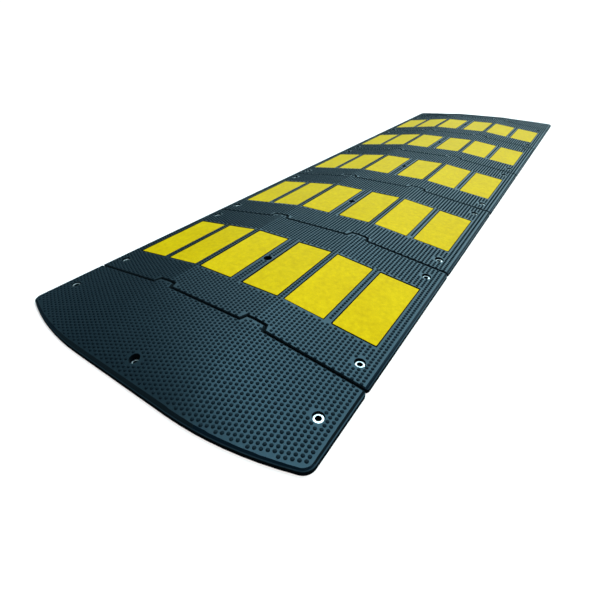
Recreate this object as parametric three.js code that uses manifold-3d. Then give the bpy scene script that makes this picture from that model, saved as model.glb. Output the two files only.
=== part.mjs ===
// Rubber speed bump: five middle sections between two rounded end sections, yellow reflective
// films set into the sections, and steel washers at the bottom of the anchor bolt holes.
// Millimetres, +Z up. X is the direction of travel, Y runs along the bump, and the origin is on
// the road at the centre of the underside.
import * as THREE from 'three';
import { mergeVertices } from 'three/addons/utils/BufferGeometryUtils.js';
import Module from 'manifold-3d';

const wasm = await Module();
wasm.setup();

// Cross-section of the bump
const HALF_WIDTH = 435;
const CROWN_HEIGHT = 48;
const CROWN_HALF = 145;
const EDGE_HEIGHT = 12;
const RAMP_SLOPE = (CROWN_HEIGHT - EDGE_HEIGHT) / (HALF_WIDTH - CROWN_HALF);

// Rim round the outside: a slightly drafted wall, a narrow ledge and a bevel up to the ramp
const WALL_HEIGHT = 9;
const WALL_DRAFT = 0.8;
const LEDGE_WIDTH = 3;
const LEDGE_HEIGHT = 9.5;
const BEVEL_SLOPE = 0.75;

// Sections along the bump
const MIDDLE_COUNT = 5;
const SECTION_PITCH = 500;
const SEAM_GAP = 3;
const SEAM_CORNER_RADIUS = 9;

// End sections: a straight outer edge that turns into long arcs, with small round corners
const END_LENGTH = 250;
const END_STRAIGHT_HALF = 150;
const END_ARC_RADIUS = 835;
const END_CORNER_RADIUS = 27;
const ROOF_COLUMNS = 20;
const ROOF_ROWS = 6;
const ARC_STEPS = 8;

// Interlocking tabs, two at each seam
const TAB_X = 150;
const TAB_BASE_WIDTH = 66;
const TAB_TIP_WIDTH = 52;
const TAB_DEPTH = 19;
const TAB_CLEARANCE = 1.5;

// Reflective films, three on each side of a middle section
const FILM_WIDTH = 110;
const FILM_LENGTH = 257;
const FILM_THICKNESS = 1.2;
const FILM_OFFSET_Y = -2.5;
const FILM_CENTRES = { inner: 76.5, middle: 208.5, outer: 342 };
const RECESS_DEPTH = 2;
const RECESS_MARGIN = 3;
const REST_GAP = 0.3;

// Anchor bolt holes, each with a wide upper bore down to a washer seat
const HOLE_X = 391;
const MIDDLE_HOLE_Y = 196;
const END_SIDE_HOLE_Y = 105;
const END_CENTRE_HOLE_Y = 200;
const HOLE_RADIUS = 7;
const COUNTERBORE_RADIUS = 12;
const SEAT_HEIGHT = 10;
const WASHER_OUTER_RADIUS = 10.5;
const WASHER_INNER_RADIUS = 6.5;
const WASHER_THICKNESS = 2.5;
const ROUND_SEGMENTS = 16;

// Tools that cut right through reach this far past the part
const CLEAR = 60;

function rubber() {
  return new THREE.MeshStandardMaterial({ color: 0x2b3d46, roughness: 0.62, metalness: 0 });
}

function reflectiveFilm() {
  return new THREE.MeshStandardMaterial({ color: 0xe8dc14, roughness: 0.38, metalness: 0 });
}

function zincSteel() {
  return new THREE.MeshStandardMaterial({ color: 0xd5d8da, roughness: 0.32, metalness: 1 });
}

function solidOf(geometry) {
  const bare = geometry.clone();
  bare.deleteAttribute('normal');
  bare.deleteAttribute('uv');
  const merged = mergeVertices(bare, 1e-4);
  const mesh = new wasm.Mesh({
    numProp: 3,
    vertProperties: new Float32Array(merged.attributes.position.array),
    triVerts: new Uint32Array(merged.index.array),
  });
  return new wasm.Manifold(mesh);
}

function geometryOf(solid) {
  const mesh = solid.getMesh();
  const geometry = new THREE.BufferGeometry();
  geometry.setAttribute('position', new THREE.BufferAttribute(mesh.vertProperties, 3));
  geometry.setIndex(new THREE.BufferAttribute(mesh.triVerts, 1));
  geometry.computeVertexNormals();
  return geometry;
}

function namedMesh(name, geometry, material) {
  const mesh = new THREE.Mesh(geometry, material);
  mesh.name = name;
  return mesh;
}

// Height of the bump's cross-section at x
function rampHeight(x) {
  return CROWN_HEIGHT - RAMP_SLOPE * Math.max(Math.abs(x) - CROWN_HALF, 0);
}

// An upright prism over a plan shape
function uprightPrism(shape, bottom, top) {
  const geometry = new THREE.ExtrudeGeometry(shape, { depth: top - bottom, bevelEnabled: false });
  geometry.translate(0, 0, bottom);
  return solidOf(geometry);
}

function uprightCylinder(radius, x, y, bottom, top) {
  const geometry = new THREE.CylinderGeometry(radius, radius, top - bottom, ROUND_SEGMENTS);
  geometry.rotateX(Math.PI / 2);
  geometry.translate(x, y, (bottom + top) / 2);
  return solidOf(geometry);
}

// A tab's plan, with its base on the seam and its tip at +Y, widened by a clearance on each flank
function tabShape(x, seamY, clearance) {
  const base = TAB_BASE_WIDTH / 2 + clearance;
  const tip = TAB_TIP_WIDTH / 2 + clearance;
  const root = seamY - 2;
  const shape = new THREE.Shape();
  shape.moveTo(x - base, root);
  shape.lineTo(x + base, root);
  shape.lineTo(x + base, seamY);
  shape.lineTo(x + tip, seamY + TAB_DEPTH);
  shape.lineTo(x - tip, seamY + TAB_DEPTH);
  shape.lineTo(x - base, seamY);
  return shape;
}

function addTabs(body, roof, seamY) {
  let result = body;
  for (const x of [-TAB_X, TAB_X]) {
    const tab = uprightPrism(tabShape(x, seamY, 0), 0, CLEAR);
    result = result.add(tab.intersect(roof));
  }
  return result;
}

function cutSockets(body, seamY) {
  let result = body;
  for (const x of [-TAB_X, TAB_X]) {
    result = result.subtract(uprightPrism(tabShape(x, seamY, TAB_CLEARANCE), -CLEAR, CLEAR));
  }
  return result;
}

function cutBoltHoles(body, places) {
  let result = body;
  for (const [x, y] of places) {
    result = result.subtract(uprightCylinder(HOLE_RADIUS, x, y, -CLEAR, CLEAR));
    result = result.subtract(uprightCylinder(COUNTERBORE_RADIUS, x, y, SEAT_HEIGHT, CLEAR));
  }
  return result;
}

// Plan of a section between two seams, with small round corners where the seams meet the edges
function seamedPlan(nearY, farY) {
  const r = SEAM_CORNER_RADIUS;
  const x = HALF_WIDTH;
  const shape = new THREE.Shape();
  shape.moveTo(-x, nearY + r);
  shape.absarc(-x + r, nearY + r, r, Math.PI, 1.5 * Math.PI, false);
  shape.absarc(x - r, nearY + r, r, -0.5 * Math.PI, 0, false);
  shape.absarc(x - r, farY - r, r, 0, 0.5 * Math.PI, false);
  shape.absarc(-x + r, farY - r, r, 0.5 * Math.PI, Math.PI, false);
  return new THREE.Shape(shape.getPoints(2));
}

// The cross-section drawn out along Y, with the rim's wall, ledge and bevel on both sides
function rampPrism(startY, endY) {
  const bevelInset = (EDGE_HEIGHT - LEDGE_HEIGHT + BEVEL_SLOPE * LEDGE_WIDTH) / (BEVEL_SLOPE - RAMP_SLOPE);
  const side = [
    [HALF_WIDTH, 0],
    [HALF_WIDTH - WALL_DRAFT, WALL_HEIGHT],
    [HALF_WIDTH - LEDGE_WIDTH, LEDGE_HEIGHT],
    [HALF_WIDTH - bevelInset, rampHeight(HALF_WIDTH - bevelInset)],
    [CROWN_HALF, CROWN_HEIGHT],
  ];
  const otherSide = side.map(([x, z]) => [-x, z]).reverse();
  const shape = new THREE.Shape([...side, ...otherSide].map(([x, z]) => new THREE.Vector2(x, z)));
  const geometry = new THREE.ExtrudeGeometry(shape, { depth: endY - startY, bevelEnabled: false });
  geometry.rotateX(Math.PI / 2);
  geometry.translate(0, endY, 0);
  return solidOf(geometry);
}

// Where a film lies: its centre on the surface, lowered along the surface's normal, and its tilt
function filmPlace(x, depth) {
  const onRamp = Math.abs(x) > CROWN_HALF;
  const tilt = onRamp ? Math.sign(x) * Math.atan(RAMP_SLOPE) : 0;
  return {
    tilt,
    x: x - Math.sin(tilt) * depth,
    z: rampHeight(x) - Math.cos(tilt) * depth,
  };
}

function cutFilmRecesses(body) {
  let result = body;
  for (const centre of Object.values(FILM_CENTRES)) {
    for (const x of [-centre, centre]) {
      const height = 2 * RECESS_DEPTH;
      const geometry = new THREE.BoxGeometry(
        FILM_WIDTH + 2 * RECESS_MARGIN,
        FILM_LENGTH + 2 * RECESS_MARGIN,
        height,
      );
      const place = filmPlace(x, 0);
      geometry.rotateY(place.tilt);
      geometry.translate(place.x, FILM_OFFSET_Y, place.z);
      result = result.subtract(solidOf(geometry));
    }
  }
  return result;
}

function middleHolePlaces() {
  const places = [[0, 0]];
  for (const x of [-HOLE_X, HOLE_X]) {
    for (const y of [-MIDDLE_HOLE_Y, MIDDLE_HOLE_Y]) {
      places.push([x, y]);
    }
  }
  return places;
}

// A middle section centred on y = 0: tabs on its +Y seam and sockets on its -Y seam
function middleSectionGeometry() {
  const half = SECTION_PITCH / 2 - SEAM_GAP / 2;
  const plan = uprightPrism(seamedPlan(-half, half), -CLEAR, CLEAR);
  const roof = rampPrism(-half, half + TAB_DEPTH + CLEAR);
  let body = rampPrism(-half, half).intersect(plan);
  body = addTabs(body, roof, half);
  body = cutSockets(body, -half);
  body = cutFilmRecesses(body);
  body = cutBoltHoles(body, middleHolePlaces());
  return geometryOf(body);
}

// Points along an arc, from one angle to another
function arcPoints(x, y, radius, from, to) {
  return Array.from({ length: ARC_STEPS + 1 }, (_, i) => {
    const angle = from + ((to - from) * i) / ARC_STEPS;
    return new THREE.Vector2(x + radius * Math.cos(angle), y + radius * Math.sin(angle));
  });
}

// Plan of an end section whose seam is on y = 0 and whose outer edge is at -Y, inset all round its rim
function endPlan(inset) {
  const cornerX = HALF_WIDTH - END_CORNER_RADIUS;
  const arcY = END_ARC_RADIUS - END_LENGTH;
  const between = END_ARC_RADIUS - END_CORNER_RADIUS;
  const turn = Math.asin((cornerX - END_STRAIGHT_HALF) / between);
  const cornerY = arcY - between * Math.cos(turn);
  const arc = END_ARC_RADIUS - inset;
  const corner = END_CORNER_RADIUS - inset;
  const down = -Math.PI / 2;
  return [
    new THREE.Vector2(-HALF_WIDTH + inset, 0),
    ...arcPoints(-cornerX, cornerY, corner, -Math.PI, down - turn),
    ...arcPoints(-END_STRAIGHT_HALF, arcY, arc, down - turn, down).slice(1),
    ...arcPoints(END_STRAIGHT_HALF, arcY, arc, down, down + turn),
    ...arcPoints(cornerX, cornerY, corner, down + turn, 0).slice(1),
    new THREE.Vector2(HALF_WIDTH - inset, 0),
  ];
}

// A closed solid through rings of equal point count, each a plan outline at a height
function loft(rings) {
  const count = rings[0].plan.length;
  const positions = rings.flatMap(({ plan, z }) => plan.flatMap((point) => [point.x, point.y, z]));
  const index = [];
  for (let ring = 0; ring < rings.length - 1; ring += 1) {
    for (let i = 0; i < count; i += 1) {
      const a = ring * count + i;
      const b = ring * count + ((i + 1) % count);
      index.push(a, b, b + count, a, b + count, a + count);
    }
  }
  const top = (rings.length - 1) * count;
  for (const [a, b, c] of THREE.ShapeUtils.triangulateShape(rings[0].plan, [])) {
    index.push(a, c, b);
  }
  for (const [a, b, c] of THREE.ShapeUtils.triangulateShape(rings[rings.length - 1].plan, [])) {
    index.push(top + a, top + b, top + c);
  }
  const geometry = new THREE.BufferGeometry();
  geometry.setAttribute('position', new THREE.Float32BufferAttribute(positions, 3));
  geometry.setIndex(index);
  return solidOf(geometry);
}

// The end section's plan with its rim: wall, ledge, and a bevel that runs up past the roof
function endRimSolid() {
  const bevelTop = 16;
  const bevelTopHeight = LEDGE_HEIGHT + BEVEL_SLOPE * (bevelTop - LEDGE_WIDTH);
  return loft([
    { plan: endPlan(0), z: 0 },
    { plan: endPlan(WALL_DRAFT), z: WALL_HEIGHT },
    { plan: endPlan(LEDGE_WIDTH), z: LEDGE_HEIGHT },
    { plan: endPlan(bevelTop), z: bevelTopHeight },
    { plan: endPlan(bevelTop), z: CLEAR },
  ]);
}

// Distance from the seam to the outer edge at x
function endReach(x) {
  const past = Math.min(Math.max(Math.abs(x) - END_STRAIGHT_HALF, 0), HALF_WIDTH);
  return END_LENGTH - END_ARC_RADIUS + Math.sqrt(END_ARC_RADIUS ** 2 - past ** 2);
}

// The end section's upper surface as a solid: the bump's cross-section at the seam, falling to
// the edge height along a parabola
function endRoof() {
  const width = (2 * CROWN_HALF * ROOF_COLUMNS) / 6;
  const rows = ROOF_ROWS + 2;
  const geometry = new THREE.BoxGeometry(width, rows, 2, ROOF_COLUMNS, rows, 1);
  const position = geometry.attributes.position;
  for (let i = 0; i < position.count; i += 1) {
    const x = position.getX(i);
    const along = (rows / 2 - 1 - position.getY(i)) / ROOF_ROWS;
    const fall = THREE.MathUtils.clamp(along, 0, 1) ** 2;
    const top = EDGE_HEIGHT + (rampHeight(x) - EDGE_HEIGHT) * (1 - fall);
    position.setXYZ(i, x, -along * endReach(x), position.getZ(i) > 0 ? top : -CLEAR);
  }
  return solidOf(geometry);
}

function endHolePlaces() {
  return [
    [-HOLE_X, -END_SIDE_HOLE_Y],
    [0, -END_CENTRE_HOLE_Y],
    [HOLE_X, -END_SIDE_HOLE_Y],
  ];
}

// An end section with its seam on y = 0, with either tabs or sockets there
function endSectionGeometry(hasTabs) {
  const seamY = -SEAM_GAP / 2;
  const roof = endRoof();
  const plan = uprightPrism(seamedPlan(-2 * END_LENGTH, seamY), -CLEAR, CLEAR);
  let body = endRimSolid().intersect(roof).intersect(plan);
  if (hasTabs) {
    body = addTabs(body, roof, seamY);
  } else {
    const turned = body.rotate([0, 0, 180]);
    body = cutSockets(turned, -seamY).rotate([0, 0, 180]);
  }
  body = cutBoltHoles(body, endHolePlaces());
  return geometryOf(body);
}

function filmGeometry() {
  return new THREE.BoxGeometry(FILM_WIDTH, FILM_LENGTH, FILM_THICKNESS);
}

function washerGeometry() {
  const profile = [
    [WASHER_INNER_RADIUS, 0],
    [WASHER_OUTER_RADIUS, 0],
    [WASHER_OUTER_RADIUS, WASHER_THICKNESS],
    [WASHER_INNER_RADIUS, WASHER_THICKNESS],
    [WASHER_INNER_RADIUS, 0],
  ];
  const points = profile.map(([radius, height]) => new THREE.Vector2(radius, height));
  const geometry = new THREE.LatheGeometry(points, ROUND_SEGMENTS);
  geometry.rotateX(Math.PI / 2);
  return geometry;
}

function washerAt(name, x, y) {
  const washer = namedMesh(name, washerGeometry(), zincSteel());
  washer.position.set(x, y, SEAT_HEIGHT + REST_GAP);
  return washer;
}

function filmAt(name, x) {
  const film = namedMesh(name, filmGeometry(), reflectiveFilm());
  const place = filmPlace(x, RECESS_DEPTH - REST_GAP - FILM_THICKNESS / 2);
  film.position.set(place.x, FILM_OFFSET_Y, place.z);
  film.rotation.y = place.tilt;
  return film;
}

// One middle section with its films and corner washers, at its place along the bump
function middleSection(number) {
  const group = new THREE.Group();
  group.position.y = (number - (MIDDLE_COUNT + 1) / 2) * SECTION_PITCH;
  group.add(namedMesh(`middle_section_${number}`, middleSectionGeometry(), rubber()));
  for (const [sideName, side] of [['left', -1], ['right', 1]]) {
    for (const [placeName, centre] of Object.entries(FILM_CENTRES)) {
      group.add(filmAt(`film_${number}_${sideName}_${placeName}`, side * centre));
    }
    for (const [endName, end] of [['near', -1], ['far', 1]]) {
      const name = `washer_${number}_${sideName}_${endName}`;
      group.add(washerAt(name, side * HOLE_X, end * MIDDLE_HOLE_Y));
    }
  }
  return group;
}

function nearEnd() {
  const group = new THREE.Group();
  group.position.y = (-MIDDLE_COUNT * SECTION_PITCH) / 2;
  group.add(namedMesh('near_end_section', endSectionGeometry(true), rubber()));
  const names = ['washer_near_end_left', 'washer_near_end_centre', 'washer_near_end_right'];
  endHolePlaces().forEach(([x, y], i) => group.add(washerAt(names[i], x, y)));
  return group;
}

function farEnd() {
  const group = new THREE.Group();
  group.position.y = (MIDDLE_COUNT * SECTION_PITCH) / 2;
  group.rotation.z = Math.PI;
  group.add(namedMesh('far_end_section', endSectionGeometry(false), rubber()));
  return group;
}

const speedBump = new THREE.Group();
speedBump.add(nearEnd());
for (let number = 1; number <= MIDDLE_COUNT; number += 1) {
  speedBump.add(middleSection(number));
}
speedBump.add(farEnd());

export default speedBump;
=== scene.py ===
"""Looks of the rubber speed bump: studded rubber, yellow reflective films and zinc washers.

Metres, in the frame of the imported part: X is the direction of travel, Y runs along the bump and
the road is at Z = 0.
"""

import math

import bmesh
import bpy
import numpy as np
from mathutils import Matrix


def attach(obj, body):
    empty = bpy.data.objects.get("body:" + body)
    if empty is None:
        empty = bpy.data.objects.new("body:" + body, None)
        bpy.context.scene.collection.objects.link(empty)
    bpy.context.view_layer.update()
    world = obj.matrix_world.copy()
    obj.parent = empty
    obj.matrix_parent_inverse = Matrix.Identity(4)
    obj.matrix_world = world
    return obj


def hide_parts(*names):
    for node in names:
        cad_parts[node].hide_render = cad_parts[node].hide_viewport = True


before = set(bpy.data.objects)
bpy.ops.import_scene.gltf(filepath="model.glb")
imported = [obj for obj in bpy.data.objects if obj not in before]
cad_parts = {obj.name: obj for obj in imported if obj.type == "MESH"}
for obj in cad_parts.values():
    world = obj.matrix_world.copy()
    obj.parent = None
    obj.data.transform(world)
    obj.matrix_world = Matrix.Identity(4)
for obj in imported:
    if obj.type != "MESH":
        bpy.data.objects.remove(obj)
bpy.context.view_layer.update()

MM = 0.001

# Shape of the bump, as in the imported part
HALF_WIDTH = 435 * MM
CROWN_HEIGHT = 48 * MM
CROWN_HALF = 145 * MM
EDGE_HEIGHT = 12 * MM
RAMP_SLOPE = (CROWN_HEIGHT - EDGE_HEIGHT) / (HALF_WIDTH - CROWN_HALF)
MIDDLE_COUNT = 5
SECTION_PITCH = 500 * MM
SEAM_GAP = 3 * MM
END_LENGTH = 250 * MM
END_STRAIGHT_HALF = 150 * MM
END_ARC_RADIUS = 835 * MM
END_CORNER_RADIUS = 27 * MM
TAB_X = 150 * MM
TAB_BASE_HALF = 33 * MM
TAB_TIP_HALF = 26 * MM
TAB_DEPTH = 19 * MM
TAB_CLEARANCE = 1.5 * MM

# Films and the recesses that they lie in
FILM_WIDTH = 110 * MM
FILM_LENGTH = 257 * MM
FILM_THICKNESS = 1.2 * MM
FILM_OFFSET_Y = -2.5 * MM
FILM_CENTRES = {"inner": 76.5 * MM, "middle": 208.5 * MM, "outer": 342 * MM}
FILM_TOP_DEPTH = 0.5 * MM
FILM_CORNER_RADIUS = 2.2 * MM
FILM_COLUMNS, FILM_ROWS = 23, 53
# Closer spacing at the border of a film, where the sheet rounds over
FILM_BORDER = np.array([0, 0.25, 0.9, 2.4]) * MM
FILM_GRID_INSET = 5 * MM
FILM_WAVE_COUNT = 5
FILM_WAVE_LENGTHS = (35, 110)
FILM_WAVE_HEIGHT = 0.035 * MM
FILM_EDGE_DROP = 0.3 * MM
FILM_EDGE_REACH = 0.5 * MM
RECESS_MARGIN = 3 * MM

# Bolt holes
HOLE_X = 391 * MM
MIDDLE_HOLE_Y = 196 * MM
END_SIDE_HOLE_Y = 105 * MM
END_CENTRE_HOLE_Y = 200 * MM
BORE_RADIUS = 7.2 * MM
COUNTERBORE_RADIUS = 12.3 * MM
SEAT_HEIGHT = 10 * MM
HOLE_SEGMENTS = 48
CUTTER_REACH = 100 * MM
SEAT_CUT_HEIGHT = SEAT_HEIGHT - 0.02 * MM
HOLE_SURROUND = 15 * MM

# Washers
WASHER_OUTER_RADIUS = 10.5 * MM
WASHER_INNER_RADIUS = 6.5 * MM
WASHER_THICKNESS = 2.5 * MM
WASHER_REST_GAP = 0.3 * MM
WASHER_EDGE = 0.35 * MM
WASHER_DISH = 0.18 * MM
WASHER_FLARE = 1.2 * MM
WASHER_WALL = 0.9 * MM
WASHER_SLIDE = 0.5

# Tread studs: columns along Y, each column half a step on from the last
STUD_COLUMN_PITCH = 10.6 * MM
STUD_ROW_PITCH = SECTION_PITCH / 52
STUD_RADIUS = 3.7 * MM
STUD_SIDES = 12
# Radius and rise of each ring of a stud, in mm, from its sunk base upwards
STUD_RINGS = [(4.25, -0.9), (3.6, 0.5), (3.05, 1.3), (1.8, 1.85)]
STUD_TOP = 2.0 * MM
STUD_RIM_MARGIN = 12.5 * MM
STUD_HOLE_MARGIN = 1 * MM
STUD_SEAM_MARGIN = 1.9 * MM
STUD_RECESS_MARGIN = 0.7 * MM
# One more column of studs in the strip between the middle and the outer films
STRIP_COLUMN_X = (FILM_CENTRES["middle"] + FILM_CENTRES["outer"]) / 2
STRIP_HALF_ROWS = 13

# Softened edges of the rubber
EDGE_ROUNDING = 1.1 * MM
EDGE_SEGMENTS = 2
EDGE_ANGLE = math.radians(28)
SEAM_ROUNDING = 4.0 * MM
SEAM_SEGMENTS = 4
RECESS_ROUNDING = 1.9 * MM
FLAT_ANGLE = math.radians(0.4)
WELD_DISTANCE = 0.002 * MM
CRACK_WIDTH = 0.03 * MM

# Which faces of a section are its ledge, roof, rim, underside and walls. A tilt is the upward
# share of a face's normal: 1 on a level top, 0 on a wall.
LEDGE_HEIGHT = 9.5 * MM
LEDGE_BAND = 0.3 * MM
LEDGE_TILT = 0.95
UNDERSIDE_TILT = -0.5
RIM_TILTS = (0.1, 0.97)
WALL_TILT = 0.1
TOP_TILT = 0.9
ROOF_DEPTH = 1.3 * MM
ROOF_TURN = math.cos(math.radians(7))
# A top edge with a wall that starts below this height is an edge of the section, not of a recess
ROAD_LEVEL = 1 * MM
SLOPE_STEP = 0.2 * MM

# Edges sharper than these angles stay sharp in the shading
RUBBER_SHARP_ANGLE = math.radians(32)
FILM_SHARP_ANGLE = math.radians(50)
WASHER_SHARP_ANGLE = math.radians(40)

# Floor, light and camera
FLOOR_HALF_SIZE = 40.0
# Reach of the painted shade on the floor under the bump
COVERED_HALF_X = 420 * MM
COVERED_HALF_Y = 1450 * MM
WHITE_STRENGTH = 1.05
GLOW_AZIMUTH, GLOW_ELEVATION = 98, 48
GLOW_TINT = (0.62, 0.92, 1.0)
GLOW_PEAK = 3.7
# Share of the glow's peak by the cosine of the angle from its middle
GLOW = [
    (0.0, 0.02),
    (0.60, 0.02),
    (0.70, 0.05),
    (0.78, 0.15),
    (0.84, 0.35),
    (0.90, 0.80),
    (0.94, 1.0),
]
# Azimuth, elevation, strength and softness of the lamp that lights the rubber and films
FILL = (-7, 47, 3.2, 40)
FILL_COLOUR = (1.0, 0.93, 0.90)
# The same for the lamps that show only in reflections
SHEENS = {"overhead_sheen": (153, 68, 0.60, 28), "low_sheen": (130, 15, 0.090, 20)}
# The camera looks from its place towards a heading left of +Y, tilted down and slightly rolled
CAMERA_PLACE = (0.6142, -1.7259, 0.5838)
CAMERA_HEADING = 35.79
CAMERA_TILT = 35.08
CAMERA_ROLL = -1.537
CAMERA_LENS = 23.474
CAMERA_SENSOR = 36
CAMERA_CLIP_START = 0.01


def ramp_height(x):
    """Height of the bump's cross-section."""
    return CROWN_HEIGHT - RAMP_SLOPE * np.maximum(np.abs(x) - CROWN_HALF, 0)


def end_reach(x):
    """Distance from the seam to an end section's outer edge."""
    past = np.maximum(np.abs(x) - END_STRAIGHT_HALF, 0)
    return END_LENGTH - END_ARC_RADIUS + np.sqrt(END_ARC_RADIUS**2 - past**2)


def end_height(x, along):
    """Height of an end section's top at a distance from its seam."""
    share = np.clip(along / end_reach(x), 0, 1)
    return EDGE_HEIGHT + (ramp_height(x) - EDGE_HEIGHT) * (1 - share**2)


# ---- Tread studs


def stud_lattice(low_y, high_y):
    """Every place of the stud lattice between two distances along the bump."""
    columns = int(HALF_WIDTH / STUD_COLUMN_PITCH) + 1
    rows = int(max(abs(low_y), abs(high_y)) / STUD_ROW_PITCH) + 2
    places = []
    for column in range(-columns, columns):
        x = (column + 0.5) * STUD_COLUMN_PITCH
        for row in range(-rows, rows + 1):
            y = (row + 0.25 + 0.5 * (column % 2)) * STUD_ROW_PITCH
            if low_y < y < high_y:
                places.append((x, y))
    return np.array(places)


def tab_distance(x, y, seam_y):
    """How far a place is inside the nearest tab outline whose base is on the seam."""
    best = np.full(len(x), -1.0)
    for tab_x in (-TAB_X, TAB_X):
        share = np.clip((y - seam_y) / TAB_DEPTH, 0, 1)
        half = TAB_BASE_HALF + (TAB_TIP_HALF - TAB_BASE_HALF) * share
        inside = np.minimum(half - np.abs(x - tab_x), seam_y + TAB_DEPTH - y)
        best = np.maximum(best, inside)
    return best


def clear_of_holes(x, y, holes):
    """True where a stud leaves the rim of every bolt hole free."""
    keep = np.ones(len(x), bool)
    for hole_x, hole_y in holes:
        reach = COUNTERBORE_RADIUS + STUD_RADIUS + STUD_HOLE_MARGIN
        keep &= np.hypot(x - hole_x, y - hole_y) > reach
    return keep


def keeps_tabbed_seam(x, y, seam_y):
    """True where a stud is on this side of the seam at +Y, or on one of its tabs."""
    margin = STUD_RADIUS + STUD_SEAM_MARGIN
    return (seam_y - y > margin) | (tab_distance(x, y, seam_y) > margin)


def keeps_socket_seam(x, inside):
    """True where a stud is far enough inside a seam with sockets, and clear of the sockets."""
    margin = STUD_RADIUS + STUD_SEAM_MARGIN
    at_socket = np.abs(np.abs(x) - TAB_X) < TAB_BASE_HALF + TAB_CLEARANCE + margin
    return (inside > margin) & ~(at_socket & (inside < TAB_DEPTH + margin))


def middle_stud_places(holes):
    """Stud places of a middle section centred on Y = 0."""
    half = SECTION_PITCH / 2
    x, y = stud_lattice(-half, half + TAB_DEPTH).T
    keep = np.abs(x) < HALF_WIDTH - STUD_RIM_MARGIN
    keep &= keeps_tabbed_seam(x, y, half - SEAM_GAP / 2)
    keep &= keeps_socket_seam(x, y + half - SEAM_GAP / 2)
    keep &= clear_of_holes(x, y, holes)
    reach_x = FILM_WIDTH / 2 + RECESS_MARGIN + STUD_RADIUS + STUD_RECESS_MARGIN
    reach_y = FILM_LENGTH / 2 + RECESS_MARGIN + STUD_RADIUS + STUD_RECESS_MARGIN
    for centre in FILM_CENTRES.values():
        over_x = np.abs(np.abs(x) - centre) < reach_x
        over_y = np.abs(y - FILM_OFFSET_Y) < reach_y
        keep &= ~(over_x & over_y)
    strip_y = (np.arange(-STRIP_HALF_ROWS, STRIP_HALF_ROWS + 1) + 0.75) * STUD_ROW_PITCH
    strip_y = strip_y[np.abs(strip_y - FILM_OFFSET_Y) < reach_y]
    strip_x = np.full(len(strip_y), STRIP_COLUMN_X)
    all_x = np.concatenate([x[keep], -strip_x, strip_x])
    return all_x, np.concatenate([y[keep], strip_y, strip_y])


def inside_end_plan(x, along, margin):
    """True where a place is at least a margin inside an end section's outer edge."""
    ax = np.abs(x)
    arc_y = END_LENGTH - END_ARC_RADIUS
    past = np.maximum(ax - END_STRAIGHT_HALF, 0)
    within = np.hypot(past, along - arc_y) < END_ARC_RADIUS - margin
    within &= ax < HALF_WIDTH - margin
    corner_x = HALF_WIDTH - END_CORNER_RADIUS
    between = END_ARC_RADIUS - END_CORNER_RADIUS
    turn = math.asin((corner_x - END_STRAIGHT_HALF) / between)
    corner_y = arc_y + between * math.cos(turn)
    in_corner = (ax > corner_x) & (along > corner_y)
    near = np.hypot(ax - corner_x, along - corner_y) < max(END_CORNER_RADIUS - margin, 0)
    return within & (~in_corner | near)


def end_stud_places(holes, has_tabs):
    """Stud places of an end section with its seam on Y = 0 and its outer edge at -Y."""
    x, y = stud_lattice(-END_LENGTH, TAB_DEPTH).T
    seam_y = -SEAM_GAP / 2
    keep = inside_end_plan(x, -y, STUD_RIM_MARGIN)
    keep &= keeps_tabbed_seam(x, y, seam_y) if has_tabs else keeps_socket_seam(x, seam_y - y)
    keep &= clear_of_holes(x, y, holes)
    return x[keep], y[keep]


def surface_normal(x, y, height):
    """Unit normals of a section's top."""
    step = SLOPE_STEP
    slope_x = (height(x + step, y) - height(x - step, y)) / (2 * step)
    slope_y = (height(x, y + step) - height(x, y - step)) / (2 * step)
    normal = np.stack([-slope_x, -slope_y, np.ones_like(x)], 1)
    return normal / np.linalg.norm(normal, axis=1)[:, None]


def stud_arrays(x, y, height):
    """Vertices, faces and rise of round-topped studs that stand square on the surface."""
    z = height(x, y)
    normal = surface_normal(x, y, height)
    across = np.stack([normal[:, 2], np.zeros_like(x), -normal[:, 0]], 1)
    across /= np.linalg.norm(across, axis=1)[:, None]
    along = np.cross(normal, across)
    base = np.stack([x, y, z], 1)
    rings = []
    for radius, rise in STUD_RINGS:
        for side in range(STUD_SIDES):
            angle = 2 * math.pi * side / STUD_SIDES
            offset = across * math.cos(angle) + along * math.sin(angle)
            rings.append(base + offset * (radius * MM) + normal * (rise * MM))
    rings.append(base + normal * STUD_TOP)
    points = np.stack(rings, 1)
    count = points.shape[1]
    one = []
    for ring in range(len(STUD_RINGS) - 1):
        for side in range(STUD_SIDES):
            a = ring * STUD_SIDES + side
            b = ring * STUD_SIDES + (side + 1) % STUD_SIDES
            one.append((a, b, b + STUD_SIDES, a + STUD_SIDES))
    last = (len(STUD_RINGS) - 1) * STUD_SIDES
    for side in range(STUD_SIDES):
        one.append((last + side, last + (side + 1) % STUD_SIDES, count - 1))
    faces = [tuple(i * count + v for v in face) for i in range(len(x)) for face in one]
    rise = [max(r, 0) * MM / STUD_TOP for _, r in STUD_RINGS for _ in range(STUD_SIDES)] + [1.0]
    return points.reshape(-1, 3), faces, np.tile(rise, len(x))


# ---- Rubber sections


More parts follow.
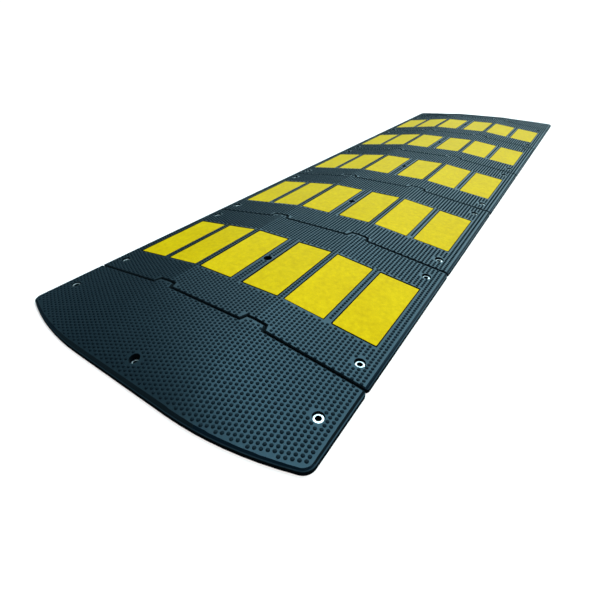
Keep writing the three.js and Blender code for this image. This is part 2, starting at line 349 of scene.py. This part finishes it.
def hole_cutter(holes):
    """One object with a stepped round cutter for every hole: the bore and the counterbore."""
    profile = [
        (BORE_RADIUS, -CUTTER_REACH),
        (BORE_RADIUS, SEAT_CUT_HEIGHT),
        (COUNTERBORE_RADIUS, SEAT_CUT_HEIGHT),
        (COUNTERBORE_RADIUS, CUTTER_REACH),
    ]
    n = len(profile)
    points, faces = [], []
    for x, y in holes:
        first = len(points)
        for i in range(HOLE_SEGMENTS):
            angle = 2 * math.pi * i / HOLE_SEGMENTS
            for radius, z in profile:
                points.append((x + radius * math.cos(angle), y + radius * math.sin(angle), z))
        for i in range(HOLE_SEGMENTS):
            a, b = first + i * n, first + (i + 1) % HOLE_SEGMENTS * n
            for k in range(n - 1):
                faces.append((a + k, b + k, b + k + 1, a + k + 1))
        faces.append(tuple(first + i * n for i in reversed(range(HOLE_SEGMENTS))))
        faces.append(tuple(first + i * n + n - 1 for i in range(HOLE_SEGMENTS)))
    mesh = bpy.data.meshes.new("hole_cutter")
    mesh.from_pydata(points, [], faces)
    cutter = bpy.data.objects.new("hole_cutter", mesh)
    bpy.context.scene.collection.objects.link(cutter)
    return cutter


def weigh_edges(bm, holes):
    """Marks the top edges along the seams and round the recesses for a wider rounding."""
    weight = bm.edges.layers.float.new("bevel_weight_edge")
    for edge in bm.edges:
        walls = [f for f in edge.link_faces if abs(f.normal.z) < WALL_TILT]
        tops = [f for f in edge.link_faces if f.normal.z > TOP_TILT]
        if len(walls) != 1 or len(tops) != 1:
            continue
        wall_foot = min(v.co.z for v in walls[0].verts)
        crest = min(v.co.z for v in edge.verts)
        middle = (edge.verts[0].co + edge.verts[1].co) / 2
        at_hole = any(math.hypot(middle.x - x, middle.y - y) < HOLE_SURROUND for x, y in holes)
        if crest > LEDGE_HEIGHT + 1 * MM and not at_hole:
            edge[weight] = 1 if wall_foot < ROAD_LEVEL else RECESS_ROUNDING / SEAM_ROUNDING


def mend(mesh):
    """Removes what the roundings leave at the corners of the recesses: slivers and fine cracks."""
    bm = bmesh.new()
    bm.from_mesh(mesh)
    bmesh.ops.remove_doubles(bm, verts=bm.verts, dist=WELD_DISTANCE)
    bmesh.ops.dissolve_degenerate(bm, edges=bm.edges, dist=WELD_DISTANCE)
    torn = [v for v in bm.verts if any(len(edge.link_faces) != 2 for edge in v.link_edges)]
    bmesh.ops.remove_doubles(bm, verts=torn, dist=CRACK_WIDTH)
    bm.to_mesh(mesh)
    bm.free()


def moulded_body(node, holes):
    """The CAD section as a new mesh with round holes and every sharp edge softened."""
    bm = bmesh.new()
    bm.from_mesh(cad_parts[node].data)
    bmesh.ops.remove_doubles(bm, verts=bm.verts, dist=WELD_DISTANCE)
    bmesh.ops.dissolve_limit(bm, angle_limit=FLAT_ANGLE, verts=bm.verts, edges=bm.edges)
    weigh_edges(bm, holes)
    mesh = bpy.data.meshes.new(node + "_body")
    bm.to_mesh(mesh)
    bm.free()
    body = bpy.data.objects.new(node + "_body", mesh)
    bpy.context.scene.collection.objects.link(body)
    cutter = hole_cutter(holes)
    cut = body.modifiers.new("holes", "BOOLEAN")
    cut.operation = "DIFFERENCE"
    cut.solver = "EXACT"
    cut.object = cutter
    # Unclamped, since the short edges at the rim would hold back every seam
    seam = body.modifiers.new("rounded_seam", "BEVEL")
    seam.width = SEAM_ROUNDING
    seam.segments = SEAM_SEGMENTS
    seam.limit_method = "WEIGHT"
    seam.use_clamp_overlap = False
    bevel = body.modifiers.new("softened_edges", "BEVEL")
    bevel.width = EDGE_ROUNDING
    bevel.segments = EDGE_SEGMENTS
    bevel.limit_method = "ANGLE"
    bevel.angle_limit = EDGE_ANGLE
    bevel.use_clamp_overlap = True
    depsgraph = bpy.context.evaluated_depsgraph_get()
    made = bpy.data.meshes.new_from_object(body.evaluated_get(depsgraph))
    bpy.data.objects.remove(cutter)
    bpy.data.objects.remove(body)
    mend(made)
    return made


def on_roof(face, top_height):
    """True for a broad face of a section's top, and not for a rounded edge or a recess floor."""
    x, y, z = face.center
    depth = float(top_height(np.array(x), np.array(y))) - z
    roof = surface_normal(np.array([x]), np.array([y]), top_height)[0]
    return depth < ROOF_DEPTH and float(np.dot(roof, face.normal)) > ROOF_TURN


def face_marks(body, top_height):
    """For each face of a body, whether it is on the bevelled rim, and whether a wall or pit; the
    rubber darkens both with painted shade.
    """
    rim = np.zeros(len(body.polygons), np.float32)
    deep = np.zeros(len(body.polygons), np.float32)
    for index, face in enumerate(body.polygons):
        z, up = face.center.z, face.normal.z
        on_ledge = up > LEDGE_TILT and abs(z - LEDGE_HEIGHT) < LEDGE_BAND
        underside = up < UNDERSIDE_TILT
        if on_ledge or underside or on_roof(face, top_height):
            continue
        if RIM_TILTS[0] < up < RIM_TILTS[1] and LEDGE_HEIGHT < z < EDGE_HEIGHT:
            rim[index] = 1
        else:
            deep[index] = 1
    return rim, deep


def roof_normals(mesh, body_face_count, top_height, curved):
    """Shading normals that keep the broad roof faces true beside the softened edges."""
    normals = np.zeros((len(mesh.loops), 3))
    spots = np.array([v.co for v in mesh.vertices])
    for face in mesh.polygons[:body_face_count]:
        if not on_roof(face, top_height):
            continue
        loops = slice(face.loop_start, face.loop_start + face.loop_total)
        if curved:
            corners = spots[list(face.vertices)]
            normals[loops] = surface_normal(corners[:, 0], corners[:, 1], top_height)
        else:
            normals[loops] = face.normal
    mesh.normals_split_custom_set(normals.tolist())


def section_piece(name, node, holes, stud_x, stud_y, height, turned, centre_y, material):
    """One moulded rubber section: softened body and tread studs in a single mesh."""
    turn = -1 if turned else 1
    body = moulded_body(node, [(turn * x, centre_y + turn * y) for x, y in holes])
    points, faces, rise = stud_arrays(stud_x, stud_y, height)

    def top_height(x, y):
        return height(turn * x, turn * (y - centre_y))

    rim, deep = face_marks(body, top_height)
    points = points * np.array([turn, turn, 1]) + np.array([0, centre_y, 0])
    body_points = np.array([v.co for v in body.vertices])
    body_faces = [tuple(p.vertices) for p in body.polygons]
    first = len(body_points)
    all_faces = body_faces + [tuple(first + v for v in face) for face in faces]
    mesh = bpy.data.meshes.new(name)
    mesh.from_pydata(np.concatenate([body_points, points]).tolist(), [], all_faces)
    mesh.polygons.foreach_set("use_smooth", [True] * len(mesh.polygons))
    mesh.set_sharp_from_angle(angle=RUBBER_SHARP_ANGLE)
    roof_normals(mesh, len(body_faces), top_height, height is end_top)
    mark = mesh.attributes.new("stud_rise", "FLOAT", "POINT")
    mark.data.foreach_set("value", np.concatenate([np.zeros(first), rise]).astype(np.float32))
    no_marks = np.zeros(len(faces), np.float32)
    # Rim and pit marks, which the rubber darkens with painted shade
    for mark_name, values in (("rim_shade_mark", rim), ("pit_shade_mark", deep)):
        mark = mesh.attributes.new(mark_name, "FLOAT", "FACE")
        mark.data.foreach_set("value", np.concatenate([values, no_marks]))
    mesh.materials.append(material)
    bpy.data.meshes.remove(body)
    piece = bpy.data.objects.new(name, mesh)
    bpy.context.scene.collection.objects.link(piece)
    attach(piece, "root")
    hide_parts(node)
    return piece


# ---- Films


def film_grid():
    """Rows and columns of places across a film, drawn in to round corners."""
    half_w, half_l = FILM_WIDTH / 2, FILM_LENGTH / 2

    def spacing(half, count):
        middle = np.linspace(-half + FILM_GRID_INSET, half - FILM_GRID_INSET, count)
        return np.concatenate([-half + FILM_BORDER, middle, half - FILM_BORDER[::-1]])

    u, v = np.meshgrid(spacing(half_w, FILM_COLUMNS), spacing(half_l, FILM_ROWS), indexing="ij")
    cu, cv = half_w - FILM_CORNER_RADIUS, half_l - FILM_CORNER_RADIUS
    du, dv = np.abs(u) - cu, np.abs(v) - cv
    at_corner = (du > 0) & (dv > 0)
    squeeze = np.where(at_corner, np.maximum(du, dv) / np.maximum(np.hypot(du, dv), 1e-9), 1.0)
    u = np.where(at_corner, np.sign(u) * (cu + du * squeeze), u)
    v = np.where(at_corner, np.sign(v) * (cv + dv * squeeze), v)
    return u, v


def film_waves(u, v, random):
    """Faint waviness of a sheet, as a height at each place."""
    waves = np.zeros_like(u)
    for _ in range(FILM_WAVE_COUNT):
        direction = random.uniform(0, 2 * math.pi)
        length = random.uniform(*FILM_WAVE_LENGTHS) * MM
        phase = random.uniform(0, 2 * math.pi)
        along = u * math.cos(direction) + v * math.sin(direction)
        waves += np.sin(2 * math.pi * along / length + phase) * FILM_WAVE_HEIGHT
    return waves


def film_piece(name, node, x, centre_y, seed, material):
    """A reflective sheet with rounded corners and a faint waviness, lying in its recess."""
    random = np.random.default_rng(seed)
    tilt = math.atan(RAMP_SLOPE) * np.sign(x) if abs(x) > CROWN_HALF else 0.0
    u, v = film_grid()
    edge = np.minimum(FILM_WIDTH / 2 - np.abs(u), FILM_LENGTH / 2 - np.abs(v))
    drop = FILM_EDGE_DROP * np.exp(-np.clip(edge, 0, None) / FILM_EDGE_REACH)
    top = np.stack([u, v, film_waves(u, v, random) - drop], -1)
    bottom = np.stack([u, v, np.full_like(u, -FILM_THICKNESS)], -1)
    points = np.concatenate([top.reshape(-1, 3), bottom.reshape(-1, 3)])
    nu, nv = u.shape
    under = nu * nv
    faces = []
    for i in range(nu - 1):
        for j in range(nv - 1):
            a, b = i * nv + j, (i + 1) * nv + j
            faces.append((a, b, b + 1, a + 1))
            faces.append((under + a + 1, under + b + 1, under + b, under + a))
    ring = [i * nv for i in range(nu)]
    ring += [(nu - 1) * nv + j for j in range(1, nv)]
    ring += [i * nv + nv - 1 for i in range(nu - 2, -1, -1)]
    ring += [j for j in range(nv - 2, 0, -1)]
    for k, a in enumerate(ring):
        b = ring[(k + 1) % len(ring)]
        faces.append((b, a, under + a, under + b))
    mesh = bpy.data.meshes.new(name)
    mesh.from_pydata(points.tolist(), [], faces)
    # Marks the cut edges, which the film material darkens with painted shade
    cut = np.zeros(len(faces), np.float32)
    cut[-len(ring) :] = 1
    mark = mesh.attributes.new("cut_edge_shade_mark", "FLOAT", "FACE")
    mark.data.foreach_set("value", cut)
    place = Matrix.Translation((x, centre_y + FILM_OFFSET_Y, float(ramp_height(np.array(x)))))
    place = place @ Matrix.Rotation(tilt, 4, "Y") @ Matrix.Translation((0, 0, -FILM_TOP_DEPTH))
    mesh.transform(place)
    mesh.polygons.foreach_set("use_smooth", [True] * len(mesh.polygons))
    mesh.set_sharp_from_angle(angle=FILM_SHARP_ANGLE)
    mesh.materials.append(material)
    piece = bpy.data.objects.new(name, mesh)
    bpy.context.scene.collection.objects.link(piece)
    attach(piece, "root")
    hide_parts(node)
    return piece


# ---- Washers


def washer_piece(name, node, x, y, seed, material):
    """A stamped washer with rounded edges and a slight dish, turned and moved at random."""
    random = np.random.default_rng(seed)
    r_in, r_out, t = WASHER_INNER_RADIUS, WASHER_OUTER_RADIUS, WASHER_THICKNESS
    soft, dish = WASHER_EDGE, WASHER_DISH
    # Radius and height, from below the hole round by the top; the hole widens downwards
    profile = [
        (r_in + WASHER_FLARE, soft),
        (r_in, t - WASHER_WALL),
        (r_in, t - soft + dish),
        (r_in + 0.3 * soft, t - 0.3 * soft + dish),
        (r_in + soft, t + dish),
        ((r_in + r_out) / 2, t + 0.35 * dish),
        (r_out - soft, t),
        (r_out - 0.3 * soft, t - 0.3 * soft),
        (r_out, t - soft),
        (r_out, soft),
        (r_out - soft, 0.0),
        (r_in + WASHER_FLARE + soft, 0.0),
    ]
    start = random.uniform(0, 2 * math.pi)
    points, faces = [], []
    for i in range(HOLE_SEGMENTS):
        angle = start + 2 * math.pi * i / HOLE_SEGMENTS
        for radius, z in profile:
            points.append((radius * math.cos(angle), radius * math.sin(angle), z))
    n = len(profile)
    for i in range(HOLE_SEGMENTS):
        for k in range(n):
            a, b = i * n + k, i * n + (k + 1) % n
            c = ((i + 1) % HOLE_SEGMENTS) * n + (k + 1) % n
            d = ((i + 1) % HOLE_SEGMENTS) * n + k
            faces.append((a, b, c, d))
    mesh = bpy.data.meshes.new(name)
    mesh.from_pydata(points, [], faces)
    mesh.polygons.foreach_set("use_smooth", [True] * len(mesh.polygons))
    mesh.set_sharp_from_angle(angle=WASHER_SHARP_ANGLE)
    mesh.materials.append(material)
    piece = bpy.data.objects.new(name, mesh)
    slide = random.uniform(-WASHER_SLIDE, WASHER_SLIDE, 2) * MM
    piece.location = (x + slide[0], y + slide[1], SEAT_HEIGHT + WASHER_REST_GAP)
    bpy.context.scene.collection.objects.link(piece)
    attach(piece, "root")
    if node:
        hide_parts(node)
    return piece


# ---- Materials


def new_material(name):
    """An empty node material with its Principled shader."""
    material = bpy.data.materials.new(name)
    material.use_nodes = True
    shader = material.node_tree.nodes["Principled BSDF"]
    return material, material.node_tree, shader


def position_noise(tree, scale, detail, rough=0.55):
    """Noise laid out by place in the frame, so that no two sections match."""
    place = tree.nodes.new("ShaderNodeNewGeometry")
    noise = tree.nodes.new("ShaderNodeTexNoise")
    noise.inputs["Scale"].default_value = scale
    noise.inputs["Detail"].default_value = detail
    noise.inputs["Roughness"].default_value = rough
    tree.links.new(place.outputs["Position"], noise.inputs["Vector"])
    return noise.outputs["Fac"]


def ramp(tree, value, stops):
    """A colour ramp over a value."""
    node = tree.nodes.new("ShaderNodeValToRGB")
    elements = node.color_ramp.elements
    while len(elements) < len(stops):
        elements.new(0.5)
    for element, (at, colour) in zip(elements, stops):
        element.position = at
        element.color = (*colour, 1)
    tree.links.new(value, node.inputs["Fac"])
    return node.outputs["Color"]


def mix(tree, share, a, b, blend="MIX"):
    """Mixes two colours; each is a socket or a colour."""
    node = tree.nodes.new("ShaderNodeMix")
    node.data_type = "RGBA"
    node.blend_type = blend
    for index, value in ((0, share), (6, a), (7, b)):
        if isinstance(value, bpy.types.NodeSocket):
            tree.links.new(value, node.inputs[index])
        elif index == 0:
            node.inputs[index].default_value = value
        else:
            node.inputs[index].default_value = (*value, 1)
    return node.outputs[2]


def scaled(tree, value, low, high):
    """A value from 0 to 1 stretched to run from low to high."""
    node = tree.nodes.new("ShaderNodeMapRange")
    node.inputs["To Min"].default_value = low
    node.inputs["To Max"].default_value = high
    tree.links.new(value, node.inputs["Value"])
    return node.outputs["Result"]


def bump(tree, shader, height, strength, distance):
    """Fine relief on a shader."""
    node = tree.nodes.new("ShaderNodeBump")
    node.inputs["Strength"].default_value = strength
    node.inputs["Distance"].default_value = distance
    tree.links.new(height, node.inputs["Height"])
    tree.links.new(node.outputs["Normal"], shader.inputs["Normal"])


def attribute(tree, name):
    """A value stored on the mesh."""
    node = tree.nodes.new("ShaderNodeAttribute")
    node.attribute_name = name
    return node.outputs["Fac"]


def rubber_material():
    """Dark vulcanised rubber: dusty between the studs; painted shade makes the studs, the bevelled
    rim and the walls and pits darker. Rougher on the studs, smoother on the rim.
    """
    material, tree, shader = new_material("moulded_rubber")
    cloud = position_noise(tree, 5.0, 4.0)
    speckle = position_noise(tree, 160.0, 3.0, 0.7)
    grain = position_noise(tree, 1400.0, 2.0, 0.6)
    ground = ramp(tree, cloud, [(0.3, (0.0020, 0.0066, 0.0108)), (0.7, (0.0038, 0.0100, 0.0150))])
    dusty = mix(tree, scaled(tree, speckle, 0.0, 0.3), ground, (0.012, 0.026, 0.033))
    # Painted shade: the studs are coloured darker than the rubber between them
    stud = ramp(tree, cloud, [(0.3, (0.0006, 0.0026, 0.0052)), (0.7, (0.0012, 0.0040, 0.0070))])
    on_stud = ramp(tree, attribute(tree, "stud_rise"), [(0.02, (0, 0, 0)), (0.16, (1, 1, 1))])
    colour = mix(tree, on_stud, dusty, stud)
    # Painted shade: the bevelled rim is coloured darker than the rubber around it
    colour = mix(tree, attribute(tree, "rim_shade_mark"), colour, (0.0010, 0.0045, 0.0090))
    # Painted shade: walls, pits and recess floors are coloured near black
    colour = mix(tree, attribute(tree, "pit_shade_mark"), colour, (0.0004, 0.0008, 0.0012))
    tree.links.new(colour, shader.inputs["Base Color"])
    rough = mix(tree, on_stud, scaled(tree, speckle, 0.30, 0.46), scaled(tree, speckle, 0.72, 0.92))
    rough = mix(tree, attribute(tree, "rim_shade_mark"), rough, (0.2, 0.2, 0.2))
    rough = mix(tree, attribute(tree, "pit_shade_mark"), rough, (1.0, 1.0, 1.0))
    tree.links.new(rough, shader.inputs["Roughness"])
    shader.inputs["Specular IOR Level"].default_value = 0.5
    shader.inputs["Specular Tint"].default_value = (0.50, 0.80, 1.0, 1)
    bump(tree, shader, grain, 0.25, 0.12 * MM)
    return material


def film_material():
    """Yellow retroreflective sheet: a faint mottle over fine cells, and painted shade on its cut
    edges.
    """
    material, tree, shader = new_material("yellow_reflective_film")
    patch = position_noise(tree, 9.0, 5.0, 0.6)
    mottle = position_noise(tree, 75.0, 4.0, 0.7)
    base = ramp(tree, patch, [(0.34, (0.52, 0.372, 0.0006)), (0.66, (0.60, 0.458, 0.0012))])
    worn = ramp(tree, mottle, [(0.28, (0.43, 0.295, 0.0003)), (0.72, (0.72, 0.550, 0.0030))])
    pale = mix(tree, 0.55, base, worn)
    place = tree.nodes.new("ShaderNodeNewGeometry")
    cells = tree.nodes.new("ShaderNodeTexVoronoi")
    cells.feature = "DISTANCE_TO_EDGE"
    cells.inputs["Scale"].default_value = 280.0
    tree.links.new(place.outputs["Position"], cells.inputs["Vector"])
    walls = ramp(tree, cells.outputs["Distance"], [(0.02, (1, 1, 1)), (0.10, (0, 0, 0))])
    colour = mix(tree, scaled(tree, walls, 0.0, 0.22), pale, (0.34, 0.29, 0.006))
    # Painted shade: the cut edges of the sheet are near black
    colour = mix(tree, attribute(tree, "cut_edge_shade_mark"), colour, (0.012, 0.010, 0.001))
    tree.links.new(colour, shader.inputs["Base Color"])
    tree.links.new(scaled(tree, mottle, 0.34, 0.52), shader.inputs["Roughness"])
    shader.inputs["Specular IOR Level"].default_value = 0.03
    shader.inputs["Specular Tint"].default_value = (1.0, 0.85, 0.1, 1)
    bump(tree, shader, cells.outputs["Distance"], 0.12, 0.1 * MM)
    return material


def zinc_material():
    """Bright zinc plate: dull spots and slight stains."""
    material, tree, shader = new_material("bright_zinc")
    spots = position_noise(tree, 420.0, 4.0, 0.65)
    stain = position_noise(tree, 110.0, 3.0)
    base = ramp(tree, spots, [(0.3, (0.78, 0.79, 0.80)), (0.7, (0.90, 0.91, 0.92))])
    colour = mix(tree, scaled(tree, stain, 0.0, 0.3), base, (0.62, 0.63, 0.66))
    tree.links.new(colour, shader.inputs["Base Color"])
    shader.inputs["Metallic"].default_value = 1.0
    tree.links.new(scaled(tree, spots, 0.22, 0.42), shader.inputs["Roughness"])
    bump(tree, shader, spots, 0.15, 0.05 * MM)
    return material


# ---- The bump

rubber = rubber_material()
film = film_material()
zinc = zinc_material()

middle_holes = [(0.0, 0.0)]
middle_holes += [(sx * HOLE_X, sy * MIDDLE_HOLE_Y) for sx in (-1, 1) for sy in (-1, 1)]
end_holes = [(-HOLE_X, -END_SIDE_HOLE_Y), (0.0, -END_CENTRE_HOLE_Y), (HOLE_X, -END_SIDE_HOLE_Y)]
half_run = MIDDLE_COUNT * SECTION_PITCH / 2


def middle_height(x, y):
    """Height of a middle section's top."""
    return ramp_height(x)


def end_top(x, y):
    """Height of an end section's top, with its seam on Y = 0 and its outer edge at -Y."""
    return end_height(x, np.maximum(-y, 0))


stud_x, stud_y = middle_stud_places(middle_holes)
for number in range(1, MIDDLE_COUNT + 1):
    centre_y = (number - (MIDDLE_COUNT + 1) / 2) * SECTION_PITCH
    section_piece(
        f"rubber_section_{number}",
        f"middle_section_{number}",
        middle_holes,
        stud_x,
        stud_y,
        middle_height,
        False,
        centre_y,
        rubber,
    )
    for side_name, side in (("left", -1), ("right", 1)):
        for place_name, centre in FILM_CENTRES.items():
            label = f"film_{number}_{side_name}_{place_name}"
            seed = 100 * number + 10 * (side + 1) + round(centre / MM)
            film_piece("reflective_" + label, label, side * centre, centre_y, seed, film)
        for end_name, end in (("near", -1), ("far", 1)):
            label = f"washer_{number}_{side_name}_{end_name}"
            seed = 1000 + 10 * number + 2 * side + end
            washer_y = centre_y + end * MIDDLE_HOLE_Y
            washer_piece("zinc_" + label, label, side * HOLE_X, washer_y, seed, zinc)
    washer_piece(f"zinc_washer_{number}_centre", None, 0.0, centre_y, 2000 + number, zinc)

for end_name, turned, has_tabs in (("near", False, True), ("far", True, False)):
    seam_y = half_run if turned else -half_run
    end_x, end_y = end_stud_places(end_holes, has_tabs)
    section_piece(
        f"rubber_{end_name}_end",
        f"{end_name}_end_section",
        end_holes,
        end_x,
        end_y,
        end_top,
        turned,
        seam_y,
        rubber,
    )
    turn = -1 if turned else 1
    side_names = ("right", "centre", "left") if turned else ("left", "centre", "right")
    for index, (side_name, (x, y)) in enumerate(zip(side_names, end_holes)):
        node = None if turned else f"washer_near_end_{side_name}"
        label = f"zinc_washer_{end_name}_end_{side_name}"
        washer_piece(label, node, turn * x, seam_y + turn * y, 3000 + 10 * turn + index, zinc)


# ---- Floor, light and camera


def covered(tree):
    """1 on the floor below the bump, which gets painted shade, 0 beyond it."""
    place = tree.nodes.new("ShaderNodeNewGeometry")
    axes = tree.nodes.new("ShaderNodeSeparateXYZ")
    tree.links.new(place.outputs["Position"], axes.inputs[0])
    inside = []
    for axis, reach in ((0, COVERED_HALF_X), (1, COVERED_HALF_Y)):
        test = tree.nodes.new("ShaderNodeMath")
        test.operation = "COMPARE"
        test.inputs[1].default_value = 0.0
        test.inputs[2].default_value = reach
        tree.links.new(axes.outputs[axis], test.inputs[0])
        inside.append(test.outputs[0])
    both = tree.nodes.new("ShaderNodeMath")
    both.operation = "MULTIPLY"
    tree.links.new(inside[0], both.inputs[0])
    tree.links.new(inside[1], both.inputs[1])
    return both.outputs[0]


def floor():
    """A plain pale floor, near black under the bump as painted shade, with little of its light
    thrown back on the rubber.
    """
    mesh = bpy.data.meshes.new("floor")
    size = FLOOR_HALF_SIZE
    corners = [(-size, -size, 0), (size, -size, 0), (size, size, 0), (-size, size, 0)]
    mesh.from_pydata(corners, [], [(0, 1, 2, 3)])
    material, tree, shader = new_material("pale_floor")
    path = tree.nodes.new("ShaderNodeLightPath")
    # Painted shade: the floor under the bump is near black where it shows through seams and holes
    floor_with_painted_shade = mix(tree, covered(tree), (1.0, 1.0, 1.0), (0.01, 0.01, 0.01))
    seen = mix(tree, path.outputs["Is Camera Ray"], (0.05, 0.05, 0.05), floor_with_painted_shade)
    tree.links.new(seen, shader.inputs["Base Color"])
    shader.inputs["Roughness"].default_value = 1.0
    shader.inputs["Specular IOR Level"].default_value = 0.0
    mesh.materials.append(material)
    piece = bpy.data.objects.new("floor", mesh)
    bpy.context.scene.collection.objects.link(piece)


def studio_world():
    """A dim room with one broad glow high behind the bump, and white beyond the floor."""
    world = bpy.data.worlds.new("studio")
    world.use_nodes = True
    tree = world.node_tree
    room = tree.nodes["Background"]
    facing = tree.nodes.new("ShaderNodeTexCoord")
    glow = tree.nodes.new("ShaderNodeVectorMath")
    glow.operation = "DOT_PRODUCT"
    azimuth, elevation = math.radians(GLOW_AZIMUTH), math.radians(GLOW_ELEVATION)
    glow.inputs[1].default_value = (
        math.cos(elevation) * math.cos(azimuth),
        math.cos(elevation) * math.sin(azimuth),
        math.sin(elevation),
    )
    tree.links.new(facing.outputs["Generated"], glow.inputs[0])
    stops = [(at, tuple(level * c for c in GLOW_TINT)) for at, level in GLOW]
    colour = ramp(tree, glow.outputs["Value"], stops)
    tree.links.new(colour, room.inputs["Color"])
    room.inputs["Strength"].default_value = GLOW_PEAK
    white = tree.nodes.new("ShaderNodeBackground")
    white.inputs["Color"].default_value = (1, 1, 1, 1)
    white.inputs["Strength"].default_value = WHITE_STRENGTH
    path = tree.nodes.new("ShaderNodeLightPath")
    choose = tree.nodes.new("ShaderNodeMixShader")
    tree.links.new(path.outputs["Is Camera Ray"], choose.inputs[0])
    tree.links.new(room.outputs[0], choose.inputs[1])
    tree.links.new(white.outputs[0], choose.inputs[2])
    tree.links.new(choose.outputs[0], tree.nodes["World Output"].inputs["Surface"])
    bpy.context.scene.world = world


def soft_sun(name, azimuth, elevation, strength, softness, colour):
    """A broad distant lamp that shines from a direction."""
    lamp = bpy.data.lights.new(name, "SUN")
    lamp.energy = strength
    lamp.color = colour
    lamp.angle = math.radians(softness)
    piece = bpy.data.objects.new(name, lamp)
    piece.rotation_euler = (math.radians(90 - elevation), 0, math.radians(azimuth + 90))
    bpy.context.scene.collection.objects.link(piece)
    return piece


def main_camera():
    """The camera, above the right side of the near end and looking along the bump."""
    data = bpy.data.cameras.new("camera")
    data.sensor_width = CAMERA_SENSOR
    data.lens = CAMERA_LENS
    data.clip_start = CAMERA_CLIP_START
    camera = bpy.data.objects.new("camera", data)
    camera.matrix_world = Matrix.Translation(CAMERA_PLACE)
    for axis, degrees in (("Z", CAMERA_HEADING), ("X", 90 - CAMERA_TILT), ("Z", CAMERA_ROLL)):
        turn = Matrix.Rotation(math.radians(degrees), 4, axis)
        camera.matrix_world = camera.matrix_world @ turn
    bpy.context.scene.collection.objects.link(camera)
    bpy.context.scene.camera = camera


floor()
studio_world()
fill = soft_sun("right_fill", *FILL, FILL_COLOUR)
fill.visible_glossy = False
for sheen_name, sheen_light in SHEENS.items():
    sheen = soft_sun(sheen_name, *sheen_light, GLOW_TINT)
    sheen.visible_diffuse = False
main_camera()

bpy.context.scene.view_settings.view_transform = "Standard"
